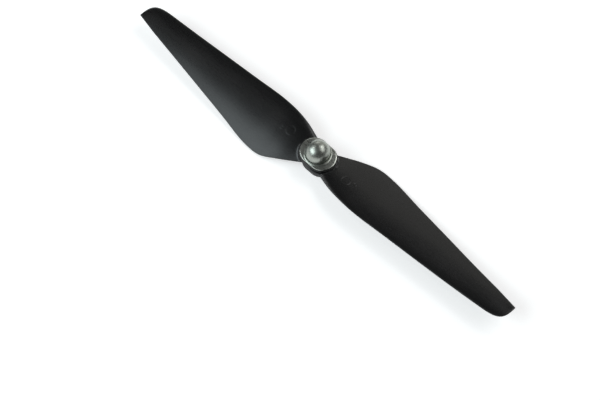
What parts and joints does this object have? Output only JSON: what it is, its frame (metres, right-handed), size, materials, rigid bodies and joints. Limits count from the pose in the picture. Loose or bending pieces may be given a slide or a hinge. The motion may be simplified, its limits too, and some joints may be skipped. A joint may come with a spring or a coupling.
{
  "type": "drone propeller",
  "caption": "Two-blade self-tightening propeller: one-piece moulded blades and hub on a domed metal nut that screws onto a motor shaft.",
  "frame": {"origin": "on the motor shaft's axis, at the face of the lower collar, which seats on the motor", "axes": "+Z along the shaft's axis, up through the dome; +X along the span; the +X blade leads with its -Y edge"},
  "size_m": [0.2388, 0.035, 0.0175],
  "materials": {
    "black_nylon": "satin moulded",
    "polished_aluminium": "polished",
    "machined_aluminium": "machined",
    "black_fibre": "matt"
  },
  "bodies": {
    "root": {"blade_moulding": "black_nylon", "dome_nut": "polished_aluminium", "flange_plate": "machined_aluminium", "spacer_ring": "black_fibre", "lower_collar": "machined_aluminium"}
  },
  "joints": []
}
